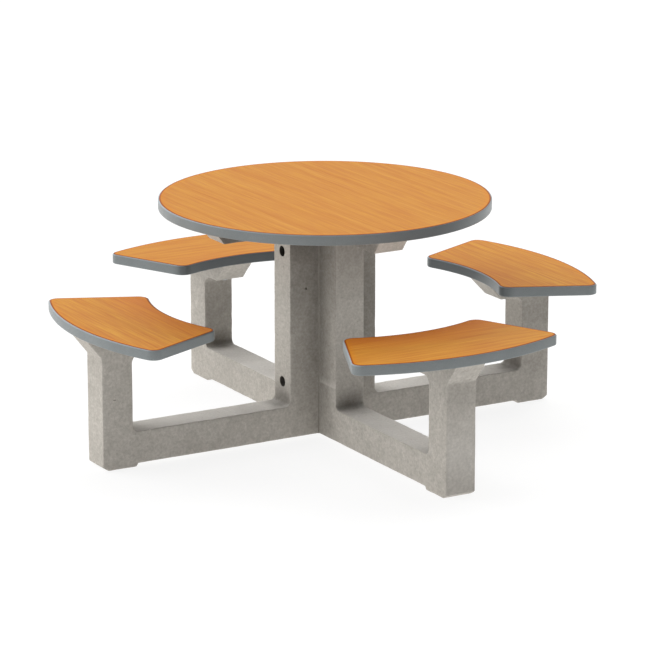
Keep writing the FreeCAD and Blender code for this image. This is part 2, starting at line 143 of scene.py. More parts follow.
# Colours for the edge band; the fourth is painted shade and the fifth a painted highlight.
BAND = {"dark": (125, 131, 132), "pale": (134, 140, 141), "speckle": (98, 104, 107),
        "painted_band_shade": (80, 86, 89), "painted_crest_highlight": (178, 192, 202)}

LIGHT_EVEN, LIGHT_NARROW, FLOOR_GLOW = 0.02, 8.0, 0.786
LIGHTS = {"front left": ((-0.657, -0.680, 0.326), 2.62),
          "front left, high": ((-0.447, -0.462, 0.766), 1.64),
          "high behind": ((-0.369, 0.439, 0.819), 4.1),
          "front right": ((0.492, -0.587, 0.643), 0.48)}
LIGHT_COLOUR = (1.0, 0.99, 0.975, 1)
FLOOR_HALF, FLOOR_GREY, FLOOR_WHITE, FLOOR_WHITE_SHARE = 60.0, 0.5, 0.9, 0.6
CAMERA_PLACE = (9.3700, -5.4070, 3.2410)
CAMERA_AIM = (-0.00018, 0.00014, 0.34038)
CAMERA_LENS, CAMERA_SENSOR, CAMERA_REACH = 199.8, 36.0, 200.0


# ---- shapes as whole arrays

def line(start, end, count):
    """Points from start to end: start + (end - start) * t, with t in count even steps, 0 to 1."""
    return start + np.subtract(end, start) * np.linspace(0, 1, count + 1)[:, None]


def unit(a):
    """The direction (cos a, sin a) of each angle."""
    return np.stack([np.cos(a), np.sin(a)], 1)


def bend(centre, radius, first, last, count):
    """Points on an arc: centre + radius * (cos a, sin a), with a in count even steps of degrees."""
    return centre + radius * unit(np.radians(np.linspace(first, last, count + 1)))


def full_turn(count):
    """Angles in count even steps round a circle."""
    return np.arange(count) / count * 2 * np.pi


def chained(pieces):
    """One path from pieces that each start where the one before ends, shared points kept once."""
    return np.concatenate([pieces[0]] + [piece[1:] for piece in pieces[1:]])


def grid_quads(rows, columns, start=0, round_rows=False, round_columns=False):
    """Faces of a rows x columns grid of points: (i, j), (i+1, j), (i+1, j+1), (i, j+1), closed
    round where asked."""
    index = start + np.arange(rows * columns).reshape(rows, columns)
    index = np.pad(index, ((0, round_rows), (0, round_columns)), "wrap")
    quads = np.stack([index[:-1, :-1], index[1:, :-1], index[1:, 1:], index[:-1, 1:]], -1)
    return quads.reshape(-1, 4)


def tube_faces(rows, count):
    """Faces of a tube of rows rings of count points: its walls, and its two end rings as caps."""
    ring = np.arange(count)
    caps = np.stack([ring, (rows - 1) * count + ring[::-1]])
    return [grid_quads(rows, count, round_columns=True), caps]


def points_from(x, y, z):
    """Points, row by row, from coordinates that are repeated to fill one common grid."""
    return np.stack(np.broadcast_arrays(x, y, z), -1).reshape(-1, 3)


def welded(points, faces, marks):
    """Points on the same hundredth of a millimetre become one; faces and marks follow them."""
    spots = np.round(points / 1e-5).astype(np.int64)
    _, first, index = np.unique(spots, axis=0, return_index=True, return_inverse=True)
    index = index.reshape(-1)
    kept = {mark: values[first] for mark, values in marks.items()}
    return points[first], [index[block] for block in faces], kept


def turned(points, quarters):
    """Points turned about the upright axis by quarter turns: (x, y) becomes (-y, x) each time."""
    x, y, z = points.T
    return np.stack([(x, y, z), (-y, x, z), (-x, -y, z), (y, -x, z)][quarters % 4], 1)


def mirrored(points):
    """Points with x turned into -x."""
    return points * (-1, 1, 1)


def cast_noise(points, cell, seed):
    """Smooth random values from -1 to 1: a hashed number at each corner of a lattice with that cell
    size, blended over the cell with the weight 3t^2 - 2t^3 in each direction."""
    place = points / cell
    base = np.floor(place).astype(np.int64)
    t = place - base
    t = t * t * (3 - 2 * t)
    total = np.zeros(len(points))
    for corner in np.ndindex(2, 2, 2):
        x, y, z = (base + corner).T
        h = (x * 73856093) ^ (y * 19349663) ^ (z * 83492791) ^ (seed * 2654435761)
        h = (h ^ (h >> 13)) * 1274126177 & 0x7FFFFFFF
        h = (h ^ (h >> 16)) & 0xFFFFF
        weight = np.where(np.array(corner, bool), t, 1 - t).prod(1)
        total += weight * (h / 0xFFFFF * 2 - 1)
    return total


def add_marks(mesh, marks):
    """Named values per point, which a finish can read."""
    for name, values in marks.items():
        made = mesh.attributes.new(name, "FLOAT", "POINT")
        made.data.foreach_set("value", values.astype(np.float32))


def read_points(mesh, what="co"):
    """The mesh's points, or what else is kept for each of them, as rows of three."""
    values = np.empty(len(mesh.vertices) * 3)
    mesh.vertices.foreach_get(what, values)
    return values.reshape(-1, 3)


def put_mesh(name, points, faces, marks):
    """A mesh object at the origin from points, blocks of face indices and marks on the points."""
    mesh = bpy.data.meshes.new(name)
    corners = np.concatenate([block.ravel() for block in faces])
    sizes = np.concatenate([np.full(len(block), block.shape[1]) for block in faces])
    mesh.vertices.add(len(points))
    mesh.vertices.foreach_set("co", points.astype(np.float32).ravel())
    mesh.loops.add(len(corners))
    mesh.loops.foreach_set("vertex_index", corners.astype(np.int32))
    mesh.polygons.add(len(sizes))
    mesh.polygons.foreach_set("loop_start", (np.cumsum(sizes) - sizes).astype(np.int32))
    mesh.update(calc_edges=True)
    add_marks(mesh, marks)
    shape = bmesh.new()
    shape.from_mesh(mesh)
    bmesh.ops.recalc_face_normals(shape, faces=shape.faces)
    shape.to_mesh(mesh)
    shape.free()
    piece = bpy.data.objects.new(name, mesh)
    bpy.context.scene.collection.objects.link(piece)
    return piece


def finish_piece(piece, look, stands_for=(), crease=CREASE):
    """Smooth shading, sharp past the crease angle; one finish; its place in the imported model."""
    mesh = piece.data
    mesh.polygons.foreach_set("use_smooth", np.ones(len(mesh.polygons), bool))
    mesh.set_sharp_from_angle(angle=np.radians(crease))
    mesh.materials.clear()
    mesh.materials.append(look)
    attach(piece, "root")
    if stands_for:
        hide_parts(*stands_for)


# ---- panels: round top and four seats

def round_plan(count=288):
    """The table's plan: points R * (cos a, sin a) and the outward directions (cos a, sin a)."""
    out = unit(full_turn(count))
    return TABLE_RADIUS * out, out


def seat_plan():
    """The seat's plan along +X, anticlockwise: outer arc, round corner, straight radial side, round
    corner, inner arc, and the same back. Each point comes with its outward direction, so that the
    plan drawn in by a distance d is point - d * outward. A corner's middle leans by half the seat's
    angle - asin(radius / distance), and a side reaches to sqrt(distance^2 - radius^2)."""
    def arc(radius, first, last, count, way):
        """radius * (cos a, sin a), facing outwards (1) or inwards (-1)."""
        out = unit(np.linspace(first, last, count, endpoint=False))
        return radius * out, way * out

    def corner(distance, lean, radius, half, first, last, count):
        """Its middle + radius * (cos a, sin a), on the upper half (1) or the lower one (-1)."""
        middle = distance * np.array([np.cos(lean), half * np.sin(lean)])
        out = unit(np.linspace(first, last, count, endpoint=False))
        return middle + radius * out, out

    def side(start, end, half):
        """Even steps from start to end along half the seat's angle, facing square to it."""
        along = np.linspace(start, end, SIDE_STEPS, endpoint=False)[:, None]
        way = np.array([np.cos(SEAT_HALF_ANGLE), half * np.sin(SEAT_HALF_ANGLE)])
        out = np.array([np.cos(square), half * np.sin(square)])
        return along * way, np.tile(out, (SIDE_STEPS, 1))

    square = SEAT_HALF_ANGLE + np.pi / 2
    outer, inner = SEAT_OUTER - SEAT_OUTER_CORNER, SEAT_INNER + SEAT_INNER_CORNER
    outer_lean = SEAT_HALF_ANGLE - np.arcsin(SEAT_OUTER_CORNER / outer)
    inner_lean = SEAT_HALF_ANGLE - np.arcsin(SEAT_INNER_CORNER / inner)
    outer_reach = np.sqrt(outer ** 2 - SEAT_OUTER_CORNER ** 2)
    inner_reach = np.sqrt(inner ** 2 - SEAT_INNER_CORNER ** 2)
    at_outer = outer, outer_lean, SEAT_OUTER_CORNER
    at_inner = inner, inner_lean, SEAT_INNER_CORNER
    points, outward = zip(
        arc(SEAT_OUTER, -outer_lean, outer_lean, 48, 1),
        corner(*at_outer, 1, outer_lean, square, 16),
        side(outer_reach, inner_reach, 1),
        corner(*at_inner, 1, square, np.pi + inner_lean, 14),
        arc(SEAT_INNER, inner_lean, -inner_lean, 32, -1),
        corner(*at_inner, -1, np.pi - inner_lean, 2 * np.pi - square, 14),
        side(inner_reach, outer_reach, -1),
        corner(*at_outer, -1, -square, -outer_lean, 16))
    return np.concatenate(points), np.concatenate(outward)


def edge_band(plan, top, quarters):
    """A closed section carried round the panel's plan. The section, as (distance in from the edge,
    height), is a strip almost as high as the panel whose two outer edges are rounded. Two marks
    paint light and shade on it. A painted highlight lies on the upper round: up to 1 on edges that
    face the front-left light, 0.35 - 0.65 * (outward . away from that light), and 0 below the
    round. A painted shade is 1 along a seat's inner edge, next to the table, falls to 0 over
    50 mm and is lower towards -X; on the table it is 0.9 * cos^12 of the angle from 10 degrees
    left of +X."""
    r = BAND_ROUND
    a = np.radians(np.linspace(0, 90, 7))
    upper = np.stack([r - r * np.sin(a), -BAND_DROP - r + r * np.cos(a)], 1)
    lower = np.stack([r - r * np.cos(a), -PANEL + r - r * np.sin(a)], 1)
    back = np.array([[BAND_WIDTH, -PANEL], [BAND_WIDTH, -BAND_DROP]])
    section = np.concatenate([upper, lower, back])
    painted_crest_highlight = np.concatenate([[1, 1, 1, 1, 0.8, 0.4, 0], np.zeros(8), [1]])
    points, out = plan
    ring = points[:, None] - section[:, :1] * out[:, None]
    count, width = ring.shape[:2]
    faces = grid_quads(count, width, round_rows=True, round_columns=True)
    facing = turned(np.column_stack([out, np.zeros(count)]), quarters)[:, :2]
    # How squarely an edge faces the front-left light: the strength of its painted highlight.
    faces_key_light = np.clip(0.35 - 0.65 * (facing @ AWAY_FROM_KEY_LIGHT), 0, 1)
    reach = np.hypot(*points.T)
    # Painted shade along a seat's inner edge next to the table, and on the table's band facing +X.
    on_seat = np.clip((SEAT_INNER + 0.05 - reach) / 0.05, 0, 1)
    on_seat = on_seat * np.clip(1 + 2.6 * facing[:, 0], 0.2, 1)
    on_table = 0.9 * np.clip(facing @ PAINTED_SHADE_SIDE, 0, 1) ** 12
    painted_band_shade = np.where(reach > TABLE_RADIUS + 0.01, on_seat, on_table)
    marks = {"painted_crest_highlight": np.outer(faces_key_light, painted_crest_highlight).ravel(), "painted_band_shade": np.repeat(painted_band_shade, width)}
    points = points_from(ring[..., 0], ring[..., 1], top + section[:, 1])
    return turned(points, quarters), [faces], marks


def laminate_sheet(plan, top, quarters, middle, painted_shade_redness):
    """A thin sheet as rings from its middle out to the rim and back underneath. Near the rim a ring
    is the plan drawn in by a distance; further in it is the innermost such ring scaled towards the
    middle. The rim is eased over half a millimetre. from_edge keeps each ring's distance from the
    panel's edge. A second mark is painted shade as a redder tint where the table shades a seat: the
    given value at a seat's inner edge, falling to 0 over the seat's inner half."""
    points, out = plan
    inset = [RIM_WIDTH] * len(INNER_RINGS) + [*RIM_RINGS, BAND_WIDTH, RIM_WIDTH, RIM_WIDTH]
    scale = [*INNER_RINGS] + [1.0] * (len(RIM_RINGS) + 2) + [UNDER_RING]
    inset, scale, drop = np.array(inset), np.array(scale), np.zeros(len(scale))
    drop[-5:] = 0.0001, 0.0003, LAMINATE, LAMINATE, LAMINATE
    from_edge = np.where(scale < 1, FAR_FROM_EDGE, inset)
    rings = points - inset[:, None, None] * out
    rings = middle + scale[:, None, None] * (rings - middle)
    rows, count = rings.shape[:2]
    body = points_from(rings[..., 0], rings[..., 1], (top - drop)[:, None])
    poles = np.array([[*middle, top], [*middle, top - LAMINATE]])
    ring = np.arange(count)
    ahead = np.roll(ring, -1)
    last = (rows - 1) * count
    upper_cap = np.stack([np.full(count, len(body)), ring, ahead], 1)
    lower_cap = np.stack([np.full(count, len(body) + 1), last + ahead, last + ring], 1)
    faces = [grid_quads(rows, count, round_columns=True), np.concatenate([upper_cap, lower_cap])]
    points = np.concatenate([body, poles])
    away = np.hypot(points[:, 0], points[:, 1])
    marks = {
        "from_edge": np.append(np.repeat(from_edge, count), [FAR_FROM_EDGE] * 2),
        "painted_shade_redness": painted_shade_redness * np.clip((SHADE_RED_REACH - away) / (SHADE_RED_REACH - SEAT_INNER), 0, 1)}
    return turned(points, quarters), faces, marks


# ---- concrete castings

def casting_spans(butt):
    """The casting's inner outline (under the table head, down the pillar, along the arm, up the
    post, under the seat head) and its outer outline (top, butt, ground side, foot, post, seat head)
    as matched runs: each pair has the same number of points, so that straight lines between them
    fill the casting's side. An inner run is a line, or a bend by centre, radius and angles."""
    head = (PILLAR_FACE + HEAD_FILLET, TABLE_SHELF - HEAD_FILLET)
    foot = (PILLAR_FACE + ARM_FILLET, ARM_TOP + ARM_FILLET)
    toe = (POST_INNER - ARM_FILLET, ARM_TOP + ARM_FILLET)
    neck = (POST_INNER - HEAD_FILLET, SEAT_SHELF - HEAD_FILLET)
    # The outer outline's corners in order, each with the inner run that ends there.
    start = (TABLE_HEAD_END, TABLE_HEAD)
    runs = [
        (line, (TABLE_SHELF_END, TABLE_SHELF), (head[0], TABLE_SHELF), (head[0], TABLE_HEAD)),
        (bend, head, HEAD_FILLET, 90, 135, (butt, TABLE_HEAD)),
        (bend, head, HEAD_FILLET, 135, 180, (butt, head[1])),
        (line, (PILLAR_FACE, head[1]), (PILLAR_FACE, foot[1]), (butt, foot[1])),
        (bend, foot, ARM_FILLET, 180, 225, (butt, ARM_FOOT)),
        (bend, foot, ARM_FILLET, 225, 270, (foot[0], ARM_FOOT)),
        (line, (foot[0], ARM_TOP), (toe[0], ARM_TOP), (toe[0], ARM_FOOT)),
        (bend, toe, ARM_FILLET, 270, 275, (FOOT_RAMP, ARM_FOOT)),
        (bend, toe, ARM_FILLET, 275, 285, (FOOT_INNER, 0.0)),
        (bend, toe, ARM_FILLET, 285, 335, (FOOT_OUTER, 0.0)),
        (bend, toe, ARM_FILLET, 335, 345, (POST_OUTER, TOE_RISE)),
        (bend, toe, ARM_FILLET, 345, 360, (POST_OUTER, toe[1])),
        (line, (POST_INNER, toe[1]), (POST_INNER, neck[1]), (POST_OUTER, neck[1])),
        (bend, neck, HEAD_FILLET, 0, 25, (POST_OUTER, SEAT_SHELF)),
        (bend, neck, HEAD_FILLET, 25, 60, (SEAT_HEAD_OUTER, SEAT_HEAD)),
        (bend, neck, HEAD_FILLET, 60, 90, (POST_INNER, SEAT_HEAD)),
        (line, (neck[0], SEAT_SHELF), (SEAT_SHELF_END, SEAT_SHELF), (SEAT_HEAD_INNER, SEAT_HEAD)),
    ]
    inner, outer, counts = [], [], []
    for kind, *inside, end in runs:
        count = max(3, int(np.ceil(np.hypot(*np.subtract(end, start)) / CAST_STEP)))
        outer.append(line(start, end, count))
        inner.append(kind(*inside, count))
        counts.append(count)
        start = end
    top_end, ground_start = sum(counts[:2]), sum(counts[:5])
    return chained(inner), chained(outer), top_end, ground_start


def inward_steps(path, closed):
    """For each point of a clockwise (r, z) path, the step that moves both edges beside it inwards
    by one: (n1 + n2) / (1 + n1 . n2), with n1 and n2 the edges' inward unit normals."""
    one_more = ((1, 1), (0, 0))
    if closed:
        edges = np.diff(np.pad(path, one_more, "wrap"), axis=0)
    else:
        edges = np.pad(np.diff(path, axis=0), one_more, "edge")
    along_r, along_z = edges.T
    normals = np.stack([along_z, -along_r], 1) / np.hypot(along_r, along_z)[:, None]
    n1, n2 = normals[:-1], normals[1:]
    return (n1 + n2) / (1 + (n1 * n2).sum(1))[:, None]


def half_casting(butt, closed):
    """One arm of the base along +X. Each side is the grid inner + (outer - inner) * t; the rim is a
    strip with two rounded arrises, carried round the outline: its points are outline + d * inward
    step at width w, with (d, w) on a quarter round at both sides, and square where a half casting
    butts against the main one. The main casting leaves its middle line open, where its two halves
    meet. The outline is eased by 0.12, 0.76, 0.12 of each point and its neighbours."""
    inner, outer, top_end, ground_start = casting_spans(butt)
    n, m = len(inner) - 1, ACROSS
    t = np.linspace(0, 1, m + 1)
    grid = inner[:, None] + (outer - inner)[:, None] * t[:, None]
    down, up = np.arange(n, -1, -1), np.arange(m, -1, -1)
    row = [down[n - top_end:], np.zeros(m, int), np.arange(1, n + 1), np.full(m, n),
           down[1:n + 1 - ground_start]]
    column = [np.full(top_end + 1, m), up[1:], np.zeros(n, int), up[::-1][1:],
              np.full(n - ground_start, m)]
    if closed:
        row.append(np.arange(ground_start - 1, top_end, -1))
        column.append(np.full(ground_start - top_end - 1, m))
    row, column = np.concatenate(row), np.concatenate(column)
    rim = grid[row, column]
    if closed:
        rim = 0.12 * np.roll(rim, 1, 0) + 0.76 * rim + 0.12 * np.roll(rim, -1, 0)
    else:
        rim[1:-1] = 0.12 * rim[:-2] + 0.76 * rim[1:-1] + 0.12 * rim[2:]
    step = inward_steps(rim, closed)
    square = closed & (rim[:, 0] < butt + 0.0005)
    step[square] = 0.0
    grid[row, column] = rim + ARRIS * step
    first, last = grid[1:-1, :1], grid[1:-1, -1:]
    grid[1:-1] = first + (last - first) * t[:, None]

    near = np.zeros((n + 1, m + 1))
    near[row, column] = ~square
    side = points_from(grid[..., 0], 0.0, grid[..., 1])
    a = np.radians(np.linspace(0, 90, 5))
    arris = np.stack([ARRIS * (1 - np.sin(a)), HALF_THICKNESS - ARRIS * (1 - np.cos(a))], 1)
    width = np.linspace(HALF_THICKNESS - ARRIS, ARRIS - HALF_THICKNESS, m + 1)[1:-1]
    flat = np.stack([np.zeros(m - 1), width], 1)
    section = np.concatenate([arris, flat, arris[::-1] * (1, -1)])
    worn = np.concatenate([np.ones(len(a)), np.zeros(m - 1), np.ones(len(a))])
    strip = rim[:, None] + section[:, :1] * step[:, None]
    strip = points_from(strip[..., 0], section[:, 1], strip[..., 1])

    lift = np.array([0.0, HALF_THICKNESS, 0.0])
    points = np.concatenate([side + lift, side - lift, strip])
    faces = [grid_quads(n + 1, m + 1), grid_quads(n + 1, m + 1, start=len(side)),
             grid_quads(len(rim), len(section), start=2 * len(side), round_rows=closed)]
    edge = np.concatenate([near.ravel(), near.ravel(), np.outer(~square, worn).ravel()])
    return points, faces, {"arris": edge}


def both_halves(shape):
    """A shape and its mirror image in one, with the mirrored faces turned round."""
    points, faces, marks = shape
    return (np.concatenate([points, mirrored(points)]),
            faces + [block[:, ::-1] + len(points) for block in faces],
            {mark: np.tile(values, 2) for mark, values in marks.items()})


def drill(profile, count=40):
    """A cutter turned about an axis: each (radius, distance) of the profile becomes a ring
    (distance, radius * cos a, radius * sin a); the first and last radius are closed by a cap."""
    radius, distance = np.array(profile).T[..., None]
    a = full_turn(count)
    points = points_from(distance, radius * np.cos(a), radius * np.sin(a))
    return points, tube_faces(len(profile), count)


def cut(piece, tools):
    """Takes the joined cutters out of a casting."""
    points, faces, start = [], [], 0
    for tool_points, tool_faces in tools:
        points.append(tool_points)
        faces += [block + start for block in tool_faces]
        start += len(tool_points)
    cutter = put_mesh("cutter", np.concatenate(points), faces, {})
    work = piece.modifiers.new("drilling", "BOOLEAN")
    work.operation, work.solver, work.object = "DIFFERENCE", "EXACT", cutter
    drilled = piece.evaluated_get(bpy.context.evaluated_depsgraph_get())
    shaped = bpy.data.meshes.new_from_object(drilled)
    piece.modifiers.clear()
    old, piece.data = piece.data, shaped
    shaped.name = piece.name
    bpy.data.meshes.remove(old)
    bpy.data.meshes.remove(cutter.data)


def weather(points, normals, arris, seed):
    """Moves each point in along its normal: a slow wave of a quarter millimetre, a finer one of a
    tenth, and at the arrises a worn depth that grows with the square of a noise, with a few deeper
    chips."""
    slow = cast_noise(points, 0.09, seed)
    fine = cast_noise(points, 0.017, seed + 1)
    wear = np.clip(cast_noise(points, 0.026, seed + 2) * 0.5 + 0.5, 0, 1) ** 2
    chip = np.clip(cast_noise(points, 0.011, seed + 3) - 0.62, 0, 1)
    chip = chip * np.clip(cast_noise(points, 0.12, seed + 4) + 0.2, 0, 1)
    depth = 0.00013 * (1 + slow) + 0.00006 * (1 + fine) + arris * (0.0009 * wear + 0.006 * chip)
    return points - depth[:, None] * normals


def casting(name, shape, tools):
    """A concrete casting: the welded shape, turned into its place, weathered and drilled."""
    quarters, seed = CASTINGS[name]
    points, faces, marks = welded(*shape)
    piece = put_mesh(name + "_casting", turned(points, quarters), faces, marks)
    mesh = piece.data
    arris = np.empty(len(mesh.vertices))
    mesh.attributes["arris"].data.foreach_get("value", arris)
    place = weather(read_points(mesh), read_points(mesh, "normal"), arris, seed)
    mesh.vertices.foreach_set("co", place.astype(np.float32).ravel())
    mesh.update()
    cut(piece, [(turned(p, quarters), f) for p, f in tools])
    return piece


def head_hole(r, radius, low, high):
    """A cutter for a round hole up through a head, at distance r along the arm."""
    points, faces = drill([(radius, low), (radius, high)], 24)
    return points[:, (1, 2, 0)] + (r, 0, 0), faces


def at_rods(points, faces):
    """A cutter at the height of each tie rod."""
    return [(points + (0, 0, z), faces) for z in ROD_HEIGHTS]


def head_holes():
    """The ways of the panel bolts and of the seat dowel up through one arm's heads."""
    return [head_hole(TABLE_BOLT, BOLT_HOLE, 0.650, 0.730),
            head_hole(SEAT_BOLT, BOLT_HOLE, 0.345, 0.425),
            head_hole(DOWEL, DOWEL_HOLE, 0.375, 0.425)]


def blowhole(r, w, z, size, depth):
    """A small air hole in a casting's side: a ball flattened to the given depth."""
    a = np.linspace(-np.pi / 2, np.pi / 2, 8)[1:-1]
    points, faces = drill(np.stack([size * np.cos(a), depth * np.sin(a)], 1), 12)
    return points[:, (1, 0, 2)] + (r, w, z), faces


def half_frame_tools(air_holes):
    """Nut pockets with flared mouths, rod holes, head holes and the air holes of one half frame."""
    pocket = drill([(0.0200, 0.160), (0.0172, PILLAR_FACE - 0.0002), (0.0162, PILLAR_FACE - 0.0016),
                    (POCKET_RADIUS, PILLAR_FACE - 0.0039), (POCKET_RADIUS, POCKET_FLOOR),
                    (ROD_HOLE, POCKET_FLOOR), (ROD_HOLE, 0.045)])
    return at_rods(*pocket) + head_holes() + air_holes


def main_frame_tools():
    """Rod holes across the pillar and the head holes of both arms of the main frame."""
    points, faces = drill([(ROD_HOLE, -0.06), (ROD_HOLE, 0.06)])
    heads = head_holes()
    heads += [(mirrored(p), f) for p, f in heads]
    return at_rods(points[:, (1, 0, 2)], faces) + heads


def threaded_rod(height):
    """A rod along Y whose radius falls and rises once per pitch along a helix:
    R - depth * |2 * frac(y / pitch + a / 2 pi) - 1|, with turned-down ends."""
    count = int(2 * ROD_HALF_LENGTH / ROD_PITCH * ROD_STEPS_PER_PITCH)
    y = np.linspace(-ROD_HALF_LENGTH, ROD_HALF_LENGTH, count + 1)
    a = full_turn(ROD_SIDES)
    ridge = np.abs(2 * np.mod(y[:, None] / ROD_PITCH + a[None] / (2 * np.pi), 1) - 1)
    end = np.clip((ROD_HALF_LENGTH - np.abs(y)) / ROD_END_TAPER, 0, 1)[:, None]
    radius = (ROD_RADIUS - THREAD_DEPTH * ridge) * (0.86 + 0.14 * end)
    points = points_from(radius * np.cos(a), y[:, None], height + radius * np.sin(a))
    return points, tube_faces(count + 1, ROD_SIDES), {}


def joint_sealant(way):
    """Two coved beads up the corners between a half casting and the main one. The section, as
    (w, r), fills the joint's mouth and ends in a hollow quarter round; it is carried straight up
    from the arm's underside to the table head, and mirrored in w for the other corner. way is +1
    for the back joint and -1 for the front one."""
    skin = HALF_THICKNESS - 0.0004
    wide, deep = 0.004, BUTT + 0.003 - skin
    back, top = skin - 0.0008, BUTT - 0.0002
    a = np.radians(np.linspace(180, 270, 6))
    hollow = np.stack([skin + wide * (1 + np.cos(a)), skin + deep * (1 + np.sin(a))], 1)
    w, r = np.concatenate([hollow, [[back, skin], [back, top], [skin, top]]]).T
    z = np.linspace(ARM_FOOT + 0.001, TABLE_HEAD - 0.001, BEAD_STEPS)
    bead = points_from(w, way * r, z[:, None])
    return both_halves((bead, tube_faces(len(z), len(w)), {}))


# ---- finishes

def linear(colour):
    """A 0 to 255 display colour as linear light: c / 12.92, or ((c + 0.055) / 1.055) ^ 2.4 above
    0.04."""
    c = np.array(colour, float) / 255
    light = np.where(c <= 0.04045, c / 12.92, ((c + 0.055) / 1.055) ** 2.4)
    return (*light.tolist(), 1.0)


def fill(tree, socket, value):
    """Links another node's output to a socket, or sets the socket's own value."""
    if isinstance(value, bpy.types.NodeSocket):
        tree.links.new(value, socket)
    else:
        socket.default_value = value


def add(tree, kind, inputs=None, **settings):
    """Adds a shader node, sets its properties, and fills its inputs with values or outputs."""
    made = tree.nodes.new("ShaderNode" + kind)
    for key, value in settings.items():
        setattr(made, key, value)
    for key, value in (inputs or {}).items():
        fill(tree, made.inputs[key], value)
    return made


def mark(tree, name):
    """A named value that the mesh keeps per point."""
    return add(tree, "Attribute", attribute_name=name).outputs["Fac"]


def noise(tree, vector, scale, detail=2.0, roughness=0.5):
    """Noise of about 0 to 1 with the given scale."""
    inputs = {"Vector": vector, "Scale": scale, "Detail": detail, "Roughness": roughness}
    return add(tree, "TexNoise", inputs).outputs["Fac"]


def stretch(tree, value, low, high, to_low=0.0, to_high=1.0):
    """The value carried from low..high to to_low..to_high, held at both ends."""
    inputs = {"Value": value, "From Min": low, "From Max": high,
              "To Min": to_low, "To Max": to_high}
    return add(tree, "MapRange", inputs).outputs["Result"]


def math_node(tree, operation, *values):
    """The result of one operation on up to three values."""
    return add(tree, "Math", dict(enumerate(values)), operation=operation).outputs[0]


def times(tree, first, second):
    """first * second."""
    return math_node(tree, "MULTIPLY", first, second)


def blend(tree, first, share, second, rest):
    """first * share + second * rest."""
    return math_node(tree, "MULTIPLY_ADD", first, share, times(tree, second, rest))


def mixed(tree, factor, first, second):
    """first * (1 - factor) + second * factor, for colours."""
    made = add(tree, "Mix", data_type="RGBA")
    sockets = {socket.identifier: socket for socket in made.inputs}
    for name, value in (("Factor_Float", factor), ("A_Color", first), ("B_Color", second)):
        fill(tree, sockets[name], value)
    return next(socket for socket in made.outputs if socket.identifier == "Result_Color")


def layered(tree, colours, tone, *layers):
    """The dark colour mixed with the pale one by tone, then with each layer's by its factor."""
    colour = mixed(tree, tone, linear(colours["dark"]), linear(colours["pale"]))
    for name, factor in layers:
        colour = mixed(tree, factor, colour, linear(colours[name]))
    return colour


def new_group(name, inputs, outputs):
    """An empty shader node group from a Vector and named numbers to named numbers; with its input
    sockets and its output node."""
    group = bpy.data.node_groups.new(name, "ShaderNodeTree")
    group.interface.new_socket("Vector", in_out="INPUT", socket_type="NodeSocketVector")
    for socket, value in inputs.items():
        made = group.interface.new_socket(socket, in_out="INPUT", socket_type="NodeSocketFloat")
        made.default_value = value
    for socket in outputs:
        group.interface.new_socket(socket, in_out="OUTPUT", socket_type="NodeSocketFloat")
    return group, group.nodes.new("NodeGroupInput").outputs, group.nodes.new("NodeGroupOutput")


def wood_grain_group():
    """Straight wood grain along X: broad bands, thin streaks and short pores, all 0 to 1."""
    group, given, out = new_group("wood_grain", {"Shift": 0.0}, ("Bands", "Streaks", "Pores"))
    part = add(group, "SeparateXYZ", {"Vector": given["Vector"]}).outputs
    sway = noise(group, given["Vector"], 2.6, 1.0)
    across = math_node(group, "MULTIPLY_ADD", sway, 0.014, part["Y"])
    for name, along, wide, detail, roughness, low, high in (
            ("Bands", 1.3, 48.0, 2.0, 0.55, 0.28, 0.72),
            ("Streaks", 5.0, 145.0, 2.0, 0.65, 0.3, 0.7),
            ("Pores", 26.0, 760.0, 1.0, 0.5, 0.62, 0.74)):
        x, y = times(group, part["X"], along), times(group, across, wide)
        drawn = add(group, "CombineXYZ", {"X": x, "Y": y, "Z": given["Shift"]})
        grain = noise(group, drawn.outputs[0], 1.0, detail, roughness)
        fill(group, out.inputs[name], stretch(group, grain, low, high))
    return group


def fine_texture_group():
    """Slow clouds, speckle of about the given size and sparse dark specks, all 0 to 1."""
    group, given, out = new_group("fine_texture", {"Cloud Scale": 7.0, "Speckle Scale": 300.0},
                                  ("Clouds", "Speckle", "Specks"))
    vector, speckle_scale = given["Vector"], given["Speckle Scale"]
    clouds = noise(group, vector, given["Cloud Scale"], 4.0, 0.6)
    fill(group, out.inputs["Clouds"], stretch(group, clouds, 0.3, 0.7))
    speckle = noise(group, vector, speckle_scale, 2.0, 0.65)
    fill(group, out.inputs["Speckle"], stretch(group, speckle, 0.25, 0.75))
    third = times(group, speckle_scale, 0.32)
    cells = add(group, "TexVoronoi", {"Vector": vector, "Scale": third}).outputs
    tint = add(group, "SeparateColor", {"Color": cells["Color"]})
    small = stretch(group, cells["Distance"], 0.12, 0.26, 1.0, 0.0)
    rare = math_node(group, "GREATER_THAN", tint.outputs["Red"], 0.86)
    fill(group, out.inputs["Specks"], times(group, small, rare))
    return group


def worn_edge_group():
    """Where an edge mark shows as wear: the mark broken up by a noise, 0 to 1."""
    given = {"Edge": 0.0, "Amount": 0.5, "Scale": 60.0}
    group, given, out = new_group("worn_edge", given, ["Wear"])
    broken = stretch(group, noise(group, given["Vector"], given["Scale"], 3.0, 0.6), 0.35, 0.7)
    kept = times(group, given["Edge"], broken)
    fill(group, out.inputs["Wear"], times(group, kept, given["Amount"]))
    return group


wood_grain = wood_grain_group()
fine_texture = fine_texture_group()
worn_edge = worn_edge_group()


def new_finish(name, **constant):
    """A material with plain values set on its shader's own sockets; with Object coordinates."""
    look = bpy.data.materials.new(name)
    look.use_nodes = True
    tree = look.node_tree
    shader = tree.nodes["Principled BSDF"]
    for socket, value in constant.items():
        shader.inputs[socket.replace("_", " ")].default_value = value
    place = add(tree, "TexCoord").outputs["Object"]
    return look, tree, shader, place


def placed(tree, group, inputs):
    """A node group placed in a material with its own values; gives its outputs."""
    return add(tree, "Group", inputs, node_tree=group).outputs


